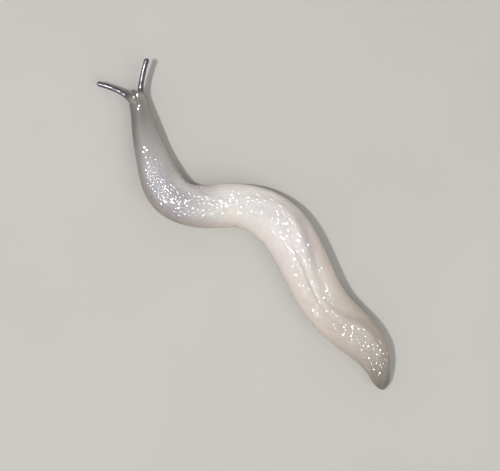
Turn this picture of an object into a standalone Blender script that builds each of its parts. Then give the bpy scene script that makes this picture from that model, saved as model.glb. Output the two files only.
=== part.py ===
"""A worm slug at life size, crawling on a level floor in a long double bend.

Sizes are in millimetres and become metres where a mesh is made.  The floor is
z = 0, x runs right and y forward as seen from above.  Most places are given as
a station, the distance along the body from the snout, with a side, positive to
the animal's right, and a height.
"""
import math

import bmesh
import bpy
import numpy as np
from mathutils import Vector

MM = 0.001
GAP = 0.3
SMALL_GAP = 0.2

# The middle line of the body on the floor, from the snout to the tip of the tail.
SPINE = (
    (-10.92, 13.75), (-10.17, 10.50), (-9.44, 7.50), (-8.67, 5.20), (-7.15, 2.80),
    (-4.67, 1.86), (-2.37, 1.92), (-0.52, 1.97), (1.28, 1.50), (3.48, 0.10),
    (5.28, -2.40), (6.66, -5.20), (8.36, -8.18), (10.24, -10.07), (12.54, -12.42),
    (13.54, -14.62), (14.00, -16.56),
)
LENGTH = 43.10

# Station and half width, then station and height of the back.
HALF_WIDTHS = (
    (0.0, 0.80), (1.3, 0.93), (2.3, 1.03), (4.4, 1.33), (6.4, 1.55), (8.9, 1.90),
    (10.6, 2.07), (12.9, 2.07), (16.7, 2.16), (18.5, 2.14), (20.4, 2.30), (22.2, 2.44),
    (25.0, 2.49), (27.3, 2.43), (31.0, 2.35), (35.4, 2.26), (37.2, 2.14), (38.7, 1.88),
    (40.4, 1.41), (41.8, 0.97), (LENGTH, 0.50),
)
HEIGHTS = (
    (0.0, 1.75), (2.3, 2.05), (6.4, 2.60), (10.4, 3.25), (16.7, 3.40), (20.4, 3.55),
    (25.0, 3.85), (31.0, 3.65), (36.5, 3.35), (38.7, 2.95), (40.4, 2.45), (41.8, 1.72),
    (LENGTH, 0.85),
)

# Cross-section: the widest line's share of the height, and how square each half is.
WAIST = 0.42
UPPER_POWER = 2.2
UNDER_POWER = 3.0
UNDER_REACH = 1.4

# The snout and the tip of the tail close in round ends of these lengths.
SNOUT_START = 0.3
SNOUT_ROUND = 1.3
SNOUT_TIP_HEIGHT = 0.95
CHIN_HEIGHT = 0.42
TAIL_ROUND = 0.9
TAIL_TIP_HEIGHT = 0.25

# The foot is a strip under head, neck and trunk; the tail keeps its own sole.
FOOT_TOP = 0.5
BODY_UNDERSIDE = FOOT_TOP + GAP
FOOT_START = 1.3
FOOT_ROUND = 1.1

# Stations of the cuts between the lengths of the body.
HEAD_END = 3.6
MANTLE_START = 6.5
MANTLE_BEND = 11.0
MANTLE_END = 18.6
BEND_END = 24.0
REAR_END = 30.0
TAIL_START = 36.5

# The mantle is a shield on the back, with a thin rim and a pointed hind end.
MANTLE_THICKNESS = 0.85
MANTLE_RIM = 0.5
MANTLE_PROUD = 0.07
MANTLE_EDGE = 0.95
MANTLE_NARROWS = 13.0
MANTLE_POINT = 0.14

# Station, side and height of the keel's crest over the back it stands on.
KEEL = (
    (MANTLE_END, 0.60, 0.05), (20.5, 0.95, 0.20), (23.0, 1.20, 0.26), (26.0, 0.50, 0.28),
    (29.0, 0.00, 0.28), (32.0, -0.30, 0.28), (34.0, 0.00, 0.28), (36.5, 0.65, 0.27),
    (39.5, 0.35, 0.22), (42.3, 0.05, 0.10), (LENGTH, 0.00, 0.02),
)
KEEL_FOOT = 0.26
KEEL_WIDEST_ANGLE = 0.3

# The breathing pore is in the mantle's right edge.
PORE_STATION = 14.6
PORE_ANGLE = math.radians(58)
PORE_SIZE = (0.24, 0.40, 0.30)

# Upper feelers: side of the root, then heading and slope of each stretch in degrees.
FEELER_ROOT_STATION = 1.25
FEELER_ROOT_HEIGHT = 1.42
FEELER_STUB = 0.72
FEELER_STRETCH = 0.545
FEELER_BASES = (0.38, 0.50, 0.37)
FEELER_RADIUS = 0.27
LEFT_FEELER = (-0.42, ((146, -4), (153, -5), (157, -6), (160, -6), (162, -6)))
RIGHT_FEELER = (0.20, ((85, 6), (80, 6), (77, 7), (77, 7), (73, 7)))
EYE_RADIUS = 0.28

# Lower feelers point forward and down beside the mouth.
LOWER_ROOT = (0.92, 0.37, 0.90)
LOWER_STUB = 0.42
LOWER_LENGTH = 0.34
LOWER_RADIUS = 0.23
LOWER_SPREAD = 12
LOWER_SLOPE = -14

# Lips and mouth: station, side and height, then radii across, along and upward.
LIPS = (
    ((0.60, 0.00, 0.78), (0.36, 0.26, 0.13)),
    ((0.82, -0.20, 0.55), (0.26, 0.38, 0.19)),
    ((0.82, 0.20, 0.55), (0.26, 0.38, 0.19)),
)
MOUTH = (
    ((0.36, 0.00, 0.655), (0.30, 0.20, 0.035)),
    ((0.40, 0.00, 0.50), (0.035, 0.22, 0.17)),
)

# The sole has three fields, parted by two shallow grooves.
SOLE_GROOVE_SHARE = 0.36
SOLE_GROOVE_HALF = 0.09
SOLE_GROOVE_DEPTH = 0.10

# Fineness of the facets.
RING_STEP = 0.5
SIDE_STEPS = 13
ROUND_STEPS = 7
FEELER_SIDES = 14


def natural_cubic(knots, values):
    """Return a function that runs a natural cubic through values at knots."""
    knots = np.asarray(knots, float)
    values = np.asarray(values, float)
    steps = np.diff(knots)
    matrix = np.eye(len(knots))
    bends = np.zeros_like(values)
    for i in range(1, len(knots) - 1):
        matrix[i, i - 1:i + 2] = steps[i - 1], 2 * (steps[i - 1] + steps[i]), steps[i]
        rise = (values[i + 1] - values[i]) / steps[i]
        bends[i] = 6 * (rise - (values[i] - values[i - 1]) / steps[i - 1])
    bends = np.linalg.solve(matrix, bends)

    def value_at(t):
        t = min(max(t, knots[0]), knots[-1])
        i = min(max(int(np.searchsorted(knots, t)) - 1, 0), len(steps) - 1)
        b = (t - knots[i]) / steps[i]
        a = 1 - b
        curve = (a ** 3 - a) * bends[i] + (b ** 3 - b) * bends[i + 1]
        return a * values[i] + b * values[i + 1] + curve * steps[i] ** 2 / 6

    return value_at


def profile(rows, column=1):
    """Return a smooth function of the station through one column of rows."""
    return natural_cubic([row[0] for row in rows], [row[column] for row in rows])


def measured_spine():
    """Return functions that give x and y of the spine at a station."""
    chords = np.hypot(*np.diff(np.array(SPINE), axis=0).T)
    curve = natural_cubic(np.concatenate([[0], np.cumsum(chords)]), SPINE)
    samples = np.array([curve(t) for t in np.linspace(0, chords.sum(), 1500)])
    stations = np.concatenate([[0], np.cumsum(np.hypot(*np.diff(samples, axis=0).T))])
    return lambda s: np.array([np.interp(s, stations, samples[:, axis]) for axis in (0, 1)])


spine_at = measured_spine()
wide_half_width = profile(HALF_WIDTHS)
full_height = profile(HEIGHTS)
keel_side = profile(KEEL, 1)
keel_height = profile(KEEL, 2)


def place(station, side, height):
    """Turn a station, a side and a height into a point."""
    ahead = spine_at(station - 0.05)
    behind = spine_at(station + 0.05)
    tangent = (behind - ahead) / np.linalg.norm(behind - ahead)
    x, y = spine_at(station) + side * np.array((-tangent[1], tangent[0]))
    return Vector((x, y, height))


def roundness(station):
    """Return how far the section has opened, from 0 at either tip to 1."""
    snout = 1 - (station - SNOUT_START) / SNOUT_ROUND
    closed = max(snout, 1 - (LENGTH - station) / TAIL_ROUND, 0)
    return math.sqrt(max(1 - closed ** 2, 0))


def half_width(station):
    return wide_half_width(station) * roundness(station)


def back_height(station):
    """Return the height of the back; at the tips it comes down to the tip's height."""
    tip = SNOUT_TIP_HEIGHT if station < LENGTH / 2 else TAIL_TIP_HEIGHT
    return tip + (full_height(station) - tip) * roundness(station)


def wall_point(station, angle, inset=0.0):
    """Return side and height of the body wall at an angle from the top, in radians."""
    width = half_width(station)
    waist = WAIST * back_height(station)
    upper = math.cos(angle) > 0
    power = UPPER_POWER if upper else UNDER_POWER
    reach = back_height(station) - waist if upper else -UNDER_REACH * waist
    side = math.copysign(width * abs(math.sin(angle)) ** (2 / power), angle)
    rise = reach * abs(math.cos(angle)) ** (2 / power)
    shrink = 1 - inset / math.hypot(side, rise)
    return side * shrink, waist + rise * shrink


def angle_at_height(station, height):
    """Return the angle at which the body wall crosses a height below the waist."""
    waist = WAIST * back_height(station)
    share = min(max((waist - height) / (UNDER_REACH * waist), 0), 1)
    return math.pi / 2 + math.asin(share ** (UNDER_POWER / 2))


def angle_at_side(station, side):
    """Return the angle at which the upper body wall passes a side."""
    share = min(abs(side) / half_width(station), 1)
    return math.copysign(math.asin(share ** (UPPER_POWER / 2)), side)


def arch(station, low, inset=0.0):
    """Return the body wall's points over a height, left to right, with the keel."""
    last = angle_at_height(station, low)
    ridge = keel_height(station) if station >= MANTLE_END else 0.0
    crest = angle_at_side(station, keel_side(station)) if ridge else 0.0
    foot = min(KEEL_FOOT / half_width(station), KEEL_WIDEST_ANGLE)
    left = np.linspace(-last, crest - foot, SIDE_STEPS)
    right = np.linspace(crest + foot, last, SIDE_STEPS)
    points = [wall_point(station, angle, inset) for angle in left]
    points.append(wall_point(station, crest, inset - ridge))
    points += [wall_point(station, angle, inset) for angle in right]
    return points


def ring(station, points):
    return [place(station, side, height) for side, height in points]


def stations_between(start, end, step=RING_STEP):
    return np.linspace(start, end, max(2, math.ceil((end - start) / step) + 1))


def round_stations(start, length):
    """Return stations that crowd together towards a round end."""
    return [start + length * (1 - math.cos(math.pi / 2 * i / ROUND_STEPS))
            for i in range(1, ROUND_STEPS + 1)]


def loft(name, rings):
    """Make one closed mesh object through rings that have the same number of points."""
    mesh = bmesh.new()
    rows = [[mesh.verts.new(point * MM) for point in points] for points in rings]
    count = len(rows[0])
    for first, second in zip(rows, rows[1:]):
        for i in range(count):
            j = (i + 1) % count
            mesh.faces.new((first[i], first[j], second[j], second[i]))
    mesh.faces.new(rows[0])
    mesh.faces.new(rows[-1])
    bmesh.ops.recalc_face_normals(mesh, faces=mesh.faces)
    return finish_mesh(name, mesh)


def finish_mesh(name, mesh):
    data = bpy.data.meshes.new(name)
    mesh.to_mesh(data)
    mesh.free()
    part = bpy.data.objects.new(name, data)
    parts.objects.link(part)
    return part


def tube(name, path, radii, sides=FEELER_SIDES):
    """Make a round tapered rod along a path of points."""
    rings = []
    for i, point in enumerate(path):
        along = (path[min(i + 1, len(path) - 1)] - path[max(i - 1, 0)]).normalized()
        across = along.cross(Vector((0, 0, 1))).normalized()
        up = across.cross(along)
        turns = [2 * math.pi * k / sides for k in range(sides)]
        radius = float(radii[i])
        rings.append([point + radius * (math.cos(t) * across + math.sin(t) * up)
                      for t in turns])
    return loft(name, rings)


def ellipsoid(name, centre, radii):
    """Make a ball at a station, side and height, with radii across, along and upward."""
    bpy.ops.mesh.primitive_uv_sphere_add(segments=16, ring_count=10, radius=1.0)
    ball = bpy.context.object
    ball.name = name
    ball.location = place(*centre) * MM
    ball.scale = Vector(radii) * MM
    across = place(centre[0], centre[1] + 1, 0) - place(centre[0], centre[1], 0)
    ball.rotation_euler.z = math.atan2(across.y, across.x)
    for old in ball.users_collection:
        old.objects.unlink(ball)
    cutters.objects.link(ball)
    return ball


def combine(part, tools, operation):
    """Fuse or cut a part with tool objects, keep the result and remove the tools."""
    for tool in tools:
        move = part.modifiers.new("combine", "BOOLEAN")
        move.operation = operation
        move.solver = "EXACT"
        move.object = tool
    bpy.context.view_layer.update()
    view = bpy.context.evaluated_depsgraph_get()
    joined = bpy.data.meshes.new_from_object(part.evaluated_get(view))
    part.modifiers.clear()
    part.data = joined
    for tool in tools:
        bpy.data.objects.remove(tool)


def direction(heading, slope):
    """Return the unit vector of a heading and a slope in degrees."""
    turn = math.radians(heading)
    rise = math.radians(slope)
    return Vector((math.cos(turn) * math.cos(rise), math.sin(turn) * math.cos(rise),
                   math.sin(rise)))


def skin_material(name, colour, roughness):
    material = bpy.data.materials.new(name)
    material.use_nodes = True
    shader = material.node_tree.nodes["Principled BSDF"]
    shader.inputs["Base Color"].default_value = (*colour, 1.0)
    shader.inputs["Roughness"].default_value = roughness
    shader.inputs["Metallic"].default_value = 0.0
    return material


def paint(part, material):
    part.data.materials.clear()
    part.data.materials.append(material)
    part.data.shade_smooth()
    part.data.set_sharp_from_angle(angle=math.radians(40))


def body_length(name, start, end, material):
    """Make one length of neck or trunk between two stations."""
    rings = [ring(s, arch(s, BODY_UNDERSIDE)) for s in stations_between(start, end)]
    paint(loft(name, rings), material)


def mantle_edge(station):
    """Return the angle of the mantle's edge, which closes to a point behind."""
    run = min(max((station - MANTLE_NARROWS) / (MANTLE_END - MANTLE_NARROWS), 0), 1)
    share = MANTLE_EDGE + (MANTLE_POINT - MANTLE_EDGE) * run ** 1.15
    return math.asin(share ** (UPPER_POWER / 2))


def mantle_depth(share):
    """Return the shield's thickness at a share of the way from the top to its edge."""
    return MANTLE_THICKNESS - (MANTLE_THICKNESS - MANTLE_RIM) * share ** 2


def mantle_ring(station):
    edge = mantle_edge(station)
    shares = np.linspace(-1, 1, 2 * SIDE_STEPS)
    outer = [wall_point(station, edge * t, -MANTLE_PROUD) for t in shares]
    inner = [wall_point(station, edge * t * 0.98, mantle_depth(t)) for t in shares[::-1]]
    return ring(station, outer + inner)


def under_mantle_ring(station):
    """Return the trunk's section where the mantle lies on it, GAP below the shield."""
    last = angle_at_height(station, BODY_UNDERSIDE)
    edge = mantle_edge(station)
    shoulder = edge + GAP / half_width(station)
    flank = [wall_point(station, angle) for angle in np.linspace(-last, -shoulder, SIDE_STEPS)]
    bed = [wall_point(station, shoulder * t, mantle_depth(t) + GAP)
           for t in np.linspace(-1, 1, SIDE_STEPS)]
    other = [(-side, height) for side, height in reversed(flank)]
    return ring(station, flank + bed + other)


def sole(half, closing):
    """Return the points of the three-field sole from right to left, both edges left out."""
    groove = SOLE_GROOVE_SHARE * half
    lip = SOLE_GROOVE_HALF * closing
    right = [(groove + lip, 0.0), (groove, SOLE_GROOVE_DEPTH * closing), (groove - lip, 0.0)]
    return right + [(-side, height) for side, height in reversed(right)]


def foot_ring(station):
    """Return a flat strip a little narrower than the body, rounded at the front."""
    front = max(1 - (station - FOOT_START) / FOOT_ROUND, 0)
    closing = math.sqrt(max(1 - front ** 2, 0.02))
    heights = (FOOT_TOP, 0.35, 0.12, 0.0)
    lips = (-0.08, 0.03, 0.02, -0.06)
    sides = [(wall_point(station, angle_at_height(station, z))[0] + lip) * closing
             for z, lip in zip(heights, lips)]
    right = list(zip(sides, heights))
    left = [(-side, height) for side, height in reversed(right)]
    return ring(station, right + sole(sides[-1], closing) + left)


def tail_ring(station):
    """Return the whole section down to the floor, with the sole."""
    wall = arch(station, 0.0)
    edge = wall[-1][0]
    wall[0] = (-edge, 0.0)
    wall[-1] = (edge, 0.0)
    return ring(station, wall + sole(edge, roundness(station) ** 2))


def head_ring(station):
    """Return the head's section: down to the chin in front of the foot, then over it."""
    low = CHIN_HEIGHT if station < FOOT_START - GAP - 0.1 else BODY_UNDERSIDE
    low = SNOUT_TIP_HEIGHT - (SNOUT_TIP_HEIGHT - low) * roundness(station)
    return ring(station, arch(station, low))


def make_head(material):
    face_end = SNOUT_START + SNOUT_ROUND
    stations = round_stations(SNOUT_START, SNOUT_ROUND)
    stations += list(stations_between(face_end, HEAD_END - GAP / 2)[1:])
    head = loft("head", [head_ring(s) for s in stations])
    stubs = []
    for side, line in (LEFT_FEELER, RIGHT_FEELER):
        root = place(FEELER_ROOT_STATION, side, FEELER_ROOT_HEIGHT)
        tip = root + FEELER_STUB * direction(*line[0])
        sunk = root - 0.25 * direction(*line[0]) - Vector((0, 0, 0.15))
        stubs.append(tube("stub", [sunk, root, tip], FEELER_BASES))
    for side in (-1, 1):
        root, aim = lower_feeler_line(side)
        stubs.append(tube("stub", [root - 0.2 * aim, root + LOWER_STUB * aim],
                          [LOWER_RADIUS + 0.04, LOWER_RADIUS]))
    lips = [ellipsoid("lip", centre, radii) for centre, radii in LIPS]
    combine(head, stubs + lips, "UNION")
    combine(head, [ellipsoid("slit", centre, radii) for centre, radii in MOUTH], "DIFFERENCE")
    paint(head, material)


def forward_heading():
    """Return the compass heading, in degrees, in which the snout points."""
    ahead = spine_at(0.0) - spine_at(SNOUT_ROUND)
    return math.degrees(math.atan2(ahead[1], ahead[0]))


def lower_feeler_line(side):
    station, reach, height = LOWER_ROOT
    heading = forward_heading() - side * LOWER_SPREAD
    return place(station, side * reach, height), direction(heading, LOWER_SLOPE)


def make_upper_feeler(name, side, line, skin, eye_material):
    """Make one upper feeler from the end of its stub, and the eye at its tip."""
    root = place(FEELER_ROOT_STATION, side, FEELER_ROOT_HEIGHT)
    point = root + (FEELER_STUB + SMALL_GAP) * direction(*line[0])
    path = [point]
    for heading, slope in line:
        point = point + FEELER_STRETCH * direction(heading, slope)
        path.append(point)
    smooth = natural_cubic(range(len(path)), [tuple(p) for p in path])
    steps = np.linspace(0, len(path) - 1, 13)
    radii = [FEELER_RADIUS + 0.07 * max(1 - t, 0) for t in steps]
    feeler = tube("upper_tentacle_" + name, [Vector(smooth(t)) for t in steps], radii)
    paint(feeler, skin)
    aim = (path[-1] - path[-2]).normalized()
    base = path[-1] + SMALL_GAP * aim
    turns = [math.radians(angle) for angle in (0, 20, 40, 58, 74, 86)]
    dome = [base + EYE_RADIUS * 1.15 * math.sin(t) * aim for t in turns]
    eye = tube("eye_" + name, dome, [EYE_RADIUS * math.cos(t) for t in turns])
    paint(eye, eye_material)


def make_lower_feeler(name, side, skin):
    root, aim = lower_feeler_line(side)
    start = root + (LOWER_STUB + SMALL_GAP) * aim
    steps = [i / 5 for i in range(6)]
    path = [start + LOWER_LENGTH * t * aim for t in steps]
    radii = [LOWER_RADIUS * math.sqrt(max(1 - t ** 4, 0.1)) for t in steps]
    feeler = tube("lower_tentacle_" + name, path, radii)
    paint(feeler, skin)


def make_mantle(material):
    start = MANTLE_START + GAP / 2
    bend = (MANTLE_BEND - GAP / 2, MANTLE_BEND + GAP / 2)
    front = loft("mantle_front", [mantle_ring(s) for s in stations_between(start, bend[0])])
    rear_end = MANTLE_END - GAP / 2
    rear = loft("mantle_rear", [mantle_ring(s) for s in stations_between(bend[1], rear_end)])
    spot = (PORE_STATION, *wall_point(PORE_STATION, PORE_ANGLE, 0.05))
    combine(rear, [ellipsoid("pore", spot, PORE_SIZE)], "DIFFERENCE")
    for part in (front, rear):
        paint(part, material)


def make_trunk(material):
    """Make the trunk's lengths; the first two lie under the mantle."""
    half = GAP / 2
    first = stations_between(MANTLE_START + half, MANTLE_BEND - half)
    second = stations_between(MANTLE_BEND + half, MANTLE_END - half)
    for name, stations in (("trunk_front", first), ("trunk_middle", second)):
        paint(loft(name, [under_mantle_ring(s) for s in stations]), material)
    body_length("trunk_bend", MANTLE_END + half, BEND_END - half, material)
    body_length("trunk_rear", BEND_END + half, REAR_END - half, material)
    body_length("trunk_hind", REAR_END + half, TAIL_START - half, material)


def make_tail(material):
    """Make the tail, which keeps its own sole down to the floor."""
    closing = LENGTH - TAIL_ROUND
    stations = list(stations_between(TAIL_START + GAP / 2, closing)[:-1])
    stations += [LENGTH - s for s in reversed([0.0] + round_stations(0.0, TAIL_ROUND))][:-1]
    paint(loft("tail", [tail_ring(s) for s in stations]), material)


def make_foot(material):
    half = GAP / 2
    lengths = (("foot_front", FOOT_START, MANTLE_BEND - half),
               ("foot_middle", MANTLE_BEND + half, BEND_END - half),
               ("foot_rear", BEND_END + half, TAIL_START - half))
    for name, start, end in lengths:
        stations = list(stations_between(start, end))
        if start == FOOT_START:
            stations = round_stations(start, FOOT_ROUND)
            stations += list(stations_between(start + FOOT_ROUND, end)[1:])
        paint(loft(name, [foot_ring(s) for s in stations]), material)


def make_slug():
    head_skin = skin_material("head_skin", (0.30, 0.29, 0.29), 0.25)
    feeler_skin = skin_material("feeler_skin", (0.09, 0.07, 0.09), 0.25)
    eye_black = skin_material("eye_black", (0.01, 0.01, 0.012), 0.15)
    mantle_skin = skin_material("mantle_skin", (0.42, 0.40, 0.39), 0.22)
    back_skin = skin_material("back_skin", (0.60, 0.56, 0.52), 0.22)
    tail_skin = skin_material("tail_skin", (0.40, 0.39, 0.35), 0.25)
    sole_skin = skin_material("sole_skin", (0.66, 0.62, 0.52), 0.30)
    make_head(head_skin)
    body_length("neck", HEAD_END + GAP / 2, MANTLE_START - GAP / 2, head_skin)
    make_upper_feeler("left", *LEFT_FEELER, feeler_skin, eye_black)
    make_upper_feeler("right", *RIGHT_FEELER, feeler_skin, eye_black)
    make_lower_feeler("left", -1, feeler_skin)
    make_lower_feeler("right", 1, feeler_skin)
    make_mantle(mantle_skin)
    make_trunk(back_skin)
    make_tail(tail_skin)
    make_foot(sole_skin)


for old_part in list(bpy.data.objects):
    bpy.data.objects.remove(old_part)
parts = bpy.data.collections.new("worm_slug")
cutters = bpy.data.collections.new("cutters")
bpy.context.scene.collection.children.link(parts)
bpy.context.scene.collection.children.link(cutters)
make_slug()
bpy.data.collections.remove(cutters)
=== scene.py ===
"""The looks of a worm slug at life size: one wet skin, two eyes, floor, light and camera.

Shapes are worked out in millimetres in the row frame and become metres in the
meshes.  A place on the body is a station, the distance along it from the snout,
with a side, positive to the animal's right, and a height over the floor.

A name that ends in SPAN holds two marks: something is not there at the first and is
there in full at the second.  One that ends in RUN holds four: it is there in full
between the middle two, and not there outside the outer two.
"""
import math

import bmesh
import bpy
import numpy as np
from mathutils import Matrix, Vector


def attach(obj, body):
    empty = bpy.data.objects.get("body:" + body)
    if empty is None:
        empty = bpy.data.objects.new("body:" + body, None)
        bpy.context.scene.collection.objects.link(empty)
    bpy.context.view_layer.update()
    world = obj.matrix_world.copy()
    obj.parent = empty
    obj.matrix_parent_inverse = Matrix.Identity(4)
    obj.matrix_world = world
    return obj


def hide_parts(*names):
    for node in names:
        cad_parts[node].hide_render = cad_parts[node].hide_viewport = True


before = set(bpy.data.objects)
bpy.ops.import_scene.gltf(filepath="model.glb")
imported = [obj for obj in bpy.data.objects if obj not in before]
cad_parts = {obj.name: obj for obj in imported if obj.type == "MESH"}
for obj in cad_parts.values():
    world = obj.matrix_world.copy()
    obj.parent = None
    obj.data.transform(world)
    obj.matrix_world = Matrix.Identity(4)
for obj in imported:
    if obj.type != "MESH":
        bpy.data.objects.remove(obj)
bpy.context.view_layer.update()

MM = 0.001

# The middle line of the body on the floor, from the snout to the tip of the tail.
SPINE = (
    (-10.92, 13.75), (-10.17, 10.50), (-9.44, 7.50), (-8.67, 5.20), (-7.15, 2.80),
    (-4.67, 1.86), (-2.37, 1.92), (-0.52, 1.97), (1.28, 1.50), (3.48, 0.10),
    (5.28, -2.40), (6.66, -5.20), (8.36, -8.18), (10.24, -10.07), (12.54, -12.42),
    (13.54, -14.62), (14.00, -16.56),
)
LENGTH = 43.10

# Station and half width, then station and height of the back.
HALF_WIDTHS = (
    (0.0, 0.80), (1.3, 0.93), (2.3, 1.03), (4.4, 1.33), (6.4, 1.55), (8.9, 1.90),
    (10.6, 2.07), (12.9, 2.07), (16.7, 2.16), (18.5, 2.14), (20.4, 2.30), (22.2, 2.44),
    (25.0, 2.49), (27.3, 2.43), (31.0, 2.35), (35.4, 2.26), (37.2, 2.14), (38.7, 1.88),
    (40.4, 1.41), (41.8, 0.97), (LENGTH, 0.50),
)
HEIGHTS = (
    (0.0, 1.75), (2.3, 2.05), (6.4, 2.60), (10.4, 3.25), (16.7, 3.40), (20.4, 3.55),
    (25.0, 3.85), (31.0, 3.65), (36.5, 3.35), (38.7, 2.95), (40.4, 2.45), (41.8, 1.72),
    (LENGTH, 0.85),
)
WAIST = 0.42
UPPER_POWER = 2.2
UNDER_POWER = 3.0
UNDER_REACH = 1.4
SNOUT_START = 0.3
SNOUT_ROUND = 1.3
SNOUT_TIP_HEIGHT = 0.95
CHIN_HEIGHT = 0.42
CHIN_END = 1.15
TAIL_ROUND = 0.9
TAIL_TIP_HEIGHT = 0.25
SOLE_START_SPAN = (CHIN_END - 0.25, CHIN_END + 0.15)

# The mantle's ends and narrowing, and its edge and point as shares of the half width.
MANTLE_START = 6.5
MANTLE_END = 18.6
MANTLE_EDGE = 0.95
MANTLE_NARROWS = 13.0
MANTLE_POINT = 0.02
MANTLE_TAPER = 1.15
MANTLE_BOW = 0.25
MANTLE_SLOPE = 0.35
MANTLE_PROUD = 0.045
MANTLE_EDGE_SPAN = (-0.1, 0.4)
MANTLE_TIP_SPAN = (MANTLE_END + 0.2, MANTLE_END - 0.2)
EDGE_DEPTH = 0.005
EDGE_REACH = 0.08
EDGE_END = MANTLE_END + 0.1

# The mantle's fine folds run round this place, longer towards the back.
WHORL_STATION = 11.0
WHORL_SIDE = 0.1
WHORL_STRETCH = 0.5
WHORL_SQUEEZE = 1.1
WHORL_WAVER = 0.16

# The folds: their spacing, the length of a piece, how pieces lean, curve and rise, how
# deep the folds are, and the share of all this that the shape itself takes.
FOLD_SPACING = 0.26
FOLD_PIECE = 0.38
FOLD_WAVER = 0.22
FOLD_LEAN = 0.30
FOLD_CURVES = (1.05, 0.50)
FOLD_RISE = 0.016
FOLD_DEPTH = 0.010
FOLD_SHARE = 0.30
FOLD_FLANK_SPAN = (0.90, 0.60)
FOLD_SPAN = (MANTLE_START + 0.1, MANTLE_START + 1.6)
TURN_SEED = 16
LEAN_SEEDS = (17, 18)
RISE_SEED = 19

# Station, side and height of the keel's crest over the back it stands on.
KEEL = (
    (MANTLE_END, 0.60, 0.05), (20.5, 0.95, 0.20), (23.0, 1.20, 0.26), (26.0, 0.50, 0.28),
    (29.0, 0.00, 0.28), (32.0, -0.30, 0.28), (34.0, 0.00, 0.28), (36.5, 0.65, 0.27),
    (39.5, 0.35, 0.22), (42.3, 0.05, 0.10), (LENGTH, 0.00, 0.02),
)
KEEL_SOFTNESS = 0.50
KEEL_SHARE = 0.55
KEEL_SPAN = (MANTLE_END - 0.3, MANTLE_END + 0.8)

# The soft valley by the keel's right, shallow all along, with painted shade in two places.
VALLEY_SIDE = 0.75
VALLEY_REACH = 0.36
VALLEY_DEPTH = 0.04
VALLEY_SPAN = (MANTLE_END + 1.0, MANTLE_END + 3.0)
SHADE_SIDE = 0.80
SHADE_REACH = 0.42
SHADE_RUNS = ((21.5, 24.5, 27.0, 30.0), (34.0, 36.5, 38.5, 40.5))

# Station and side of the thin crease along the keel's left foot, with painted shade in it.
CREASE = ((26.0, -0.30), (28.0, -0.42), (30.5, -0.58), (33.0, -0.42))
CREASE_REACH = 0.13
CREASE_DEPTH = 0.012
CREASE_RUN = (25.0, 27.0, 32.0, 34.0)

# The bend squeezes the skin on its inner side, the right: stations of the small folds,
# and where its colour is paler.
SQUEEZES = (10.55, 11.0, 11.5, 12.0)
SQUEEZE_REACH = 0.07
SQUEEZE_DEPTH = 0.015
SQUEEZE_SPAN = (0.45, 0.85)
PALE_BEND_RUN = (9.0, 11.5, 14.0, 17.0)
PALE_BEND_SPAN = (0.25, 0.80)

# The foot: its round front, the groove over its fringe, the ribbed fringe, and the two
# grooves that part the sole in three fields.
FOOT_START = 1.3
FOOT_ROUND = 1.1
FOOT_LEAST = 0.02
FOOT_TOP_SPAN = (0.12, 0.60)
FRINGE_SPAN = (1.5, 2.3)
GROOVE_HEIGHT = 0.62
GROOVE_WAVER = 0.05
GROOVE_REACH = 0.09
GROOVE_DEPTH = 0.06
FRINGE_HEIGHT = 0.30
FRINGE_REACH = 0.16
FRINGE_PROUD = 0.035
RIB_PITCH = 0.42
RIB_HEIGHT = 0.006
SOLE_SPAN = (0.12, 0.02)
SOLE_GROOVE_AT = 0.31
SOLE_GROOVE_REACH = 0.07
SOLE_GROOVE_DEPTH = 0.10
SOLE_GROOVE_RUN = (FOOT_START + 0.3, FOOT_START + 1.2, LENGTH - 1.5, LENGTH - 0.5)

# The breathing pore, a small crescent slit in the mantle's right, and its raised rim.
PORE_STATION = 14.6
PORE_ANGLE = math.radians(64)
PORE_ARM = 2.0
PORE_LENGTH = 0.24
PORE_WIDTH = 0.10
PORE_BOW = 0.10
PORE_DEPTH = 0.22
PORE_NEAR = 1.2
RIM_SHARES = (0.62, 0.34)
RIM_REACH = 0.4
RIM_HEIGHT = 0.030

# The mouth's slit across, and the split under it: heights, reach and where each ends.
MOUTH_HEIGHT = 0.655
MOUTH_BOW = 0.5
MOUTH_TOP = 0.8
MOUTH_SIDE = 0.3
MOUTH_END = 0.75
SPLIT_HEIGHTS = (0.3, 0.66)
SPLIT_END = 0.85
SLIT_REACH = 0.035
SLIT_DEPTH = 0.06

# Heights of the finest relief, grain all over and furrows off the mantle, and its places.
GRAIN = 0.001
FURROW = 0.004
FURROW_STRETCH = (0.55, 1.0)
NECK_GRAIN = 0.003
NECK_FURROW = 0.008
NECK_STRETCH = (0.35, 1.0)
FEELER_GRAIN = 0.003
ABOVE_FOOT_SPAN = (0.55, 1.0)
BEHIND_SPAN = (MANTLE_START + 0.6, MANTLE_START + 2.0)
BEFORE_TAIL_SPAN = (LENGTH - 0.4, LENGTH - 2.5)
NECK_SPAN = (MANTLE_START + 1.2, MANTLE_START - 0.3)

# Station and side of the few small wet warts on the smooth head and neck, and how
# long each is for its width.  Their film faces the light.
WARTS = ((1.9, 0.04, 1.0), (2.2, -0.14, 1.0), (6.1, -0.40, 1.2), (6.5, -0.64, 1.0),
         (6.45, -0.22, 1.0), (0.95, -0.30, 1.6), (0.80, 0.08, 2.6))
WART_LEAN = (-0.15, -0.065, 1.0)
WART_HEIGHT = 0.022
WART_REACH = 0.085
WART_WET_REACH = 0.13

# A row of small beads runs along the mantle's right.
BEAD_SIDE = 1.03
BEAD_RUN = (14.4, 14.9, 17.5, 18.3)
BEAD_PITCH = 0.37
PITCH_WAVER = 3
SIDE_WAVER = 0.08
BEAD_REACH = 0.07
BEAD_HEIGHT = 0.008
BEAD_FILM = 0.050

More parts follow.
